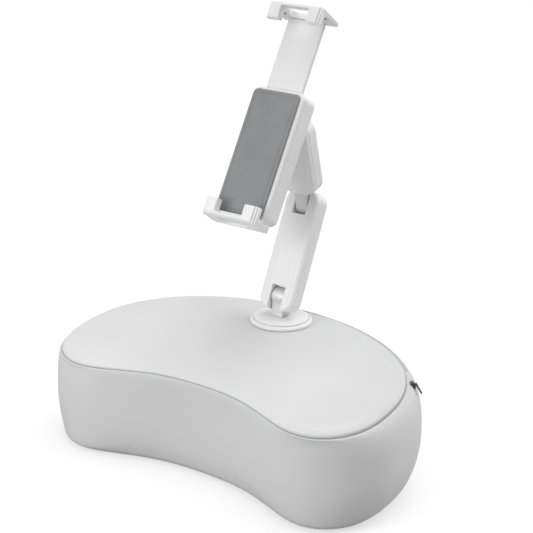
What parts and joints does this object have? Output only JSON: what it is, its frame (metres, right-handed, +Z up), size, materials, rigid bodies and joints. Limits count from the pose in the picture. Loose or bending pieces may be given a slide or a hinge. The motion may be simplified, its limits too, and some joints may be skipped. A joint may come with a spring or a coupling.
{
  "type": "tablet cushion stand",
  "caption": "Kidney-shaped lap cushion carrying a swivelling, folding arm with a spring-loaded tablet holder.",
  "frame": {"origin": "on the surface that the cushion lies on, midway along its length, 37 mm behind the line through its two ends", "axes": "+Z up; -Y towards the user, at the hollow front side of the cushion; +X to the user's right"},
  "size_m": [0.3796, 0.2247, 0.4307],
  "materials": {
    "cover_fabric": "matte woven",
    "foam": "open-cell foam",
    "white_plastic": "satin",
    "satin_steel": "satin",
    "satin_aluminium": "satin",
    "grey_rubber": "matte",
    "inner_board": "plain",
    "dark_metal": "satin"
  },
  "bodies": {
    "cushion": {"cover_top_panel": "cover_fabric", "cover_side_band": "cover_fabric", "cover_bottom_panel": "cover_fabric", "foam_core": "foam", "zip_chain": "cover_fabric", "zip_slider": "dark_metal", "mounting_board": "inner_board", "base_screw_1": "satin_steel", "base_screw_2": "satin_steel", "base_screw_3": "satin_steel", "base_ring": "white_plastic"},
    "turntable": {"turntable_disc": "white_plastic", "swivel_bolt": "satin_steel", "base_lug": "satin_aluminium"},
    "lower_arm": {"lower_arm_back_shell": "white_plastic", "lower_arm_front_cover": "white_plastic", "lower_arm_spine": "satin_steel", "lower_arm_screw_1": "satin_steel", "lower_arm_screw_2": "satin_steel", "shoulder_pin": "satin_steel", "shoulder_washer_left": "satin_steel", "shoulder_washer_right": "satin_steel", "elbow_pin": "satin_steel", "elbow_washer_left": "satin_steel", "elbow_washer_right": "satin_steel"},
    "upper_arm": {"upper_arm_back_shell": "white_plastic", "upper_arm_front_cover": "white_plastic", "upper_arm_tongue": "satin_aluminium", "upper_arm_screw_1": "satin_steel", "upper_arm_screw_2": "satin_steel", "wrist_pin": "satin_steel", "wrist_washer_left": "satin_steel", "wrist_washer_right": "satin_steel"},
    "wrist": {"holder_lug": "satin_aluminium", "holder_disc": "white_plastic", "spin_bolt": "satin_steel"},
    "holder": {"holder_back_shell": "white_plastic", "holder_front_cover": "white_plastic", "holder_pad": "grey_rubber", "lower_claw": "white_plastic", "lower_claw_pad_left": "grey_rubber", "lower_claw_pad_right": "grey_rubber", "return_spring": "satin_steel"},
    "upper_claw": {"upper_claw": "white_plastic", "slide_plate": "white_plastic", "upper_claw_pad_left": "grey_rubber", "upper_claw_pad_right": "grey_rubber"},
    "zip_pull": {"zip_pull": "dark_metal"}
  },
  "joints": [
    {"name": "base_swivel", "type": "hinge", "parent": "cushion", "child": "turntable", "pos_m": [0, 0.0562, 0.124], "axis": [0, 0, 1], "continuous": true},
    {"name": "shoulder_tilt", "type": "hinge", "parent": "turntable", "child": "lower_arm", "pos_m": [0, 0.0562, 0.1453], "axis": [-1, 0, 0], "range_deg": [-20, 20]},
    {"name": "elbow_fold", "type": "hinge", "parent": "lower_arm", "child": "upper_arm", "pos_m": [0, 0.09391, 0.22922], "axis": [1, 0, 0], "range_deg": [-30, 25]},
    {"name": "wrist_tilt", "type": "hinge", "parent": "upper_arm", "child": "wrist", "pos_m": [0, 0.07089, 0.30646], "axis": [-1, 0, 0], "range_deg": [-20, 30]},
    {"name": "holder_spin", "type": "hinge", "parent": "wrist", "child": "holder", "pos_m": [0, 0.02746, 0.33123], "axis": [0, -0.8686, 0.4955], "continuous": true},
    {"name": "claw_slide", "type": "slide", "parent": "holder", "child": "upper_claw", "axis": [0, -0.4955, -0.8686], "range_m": [-0.008, 0.058], "deforming": ["return_spring"]},
    {"name": "zip_pull_swing", "type": "hinge", "parent": "cushion", "child": "zip_pull", "pos_m": [0.16835, 0.03198, 0.10601], "axis": [0.4502, -0.8929, 0], "range_deg": [0, 100]}
  ]
}
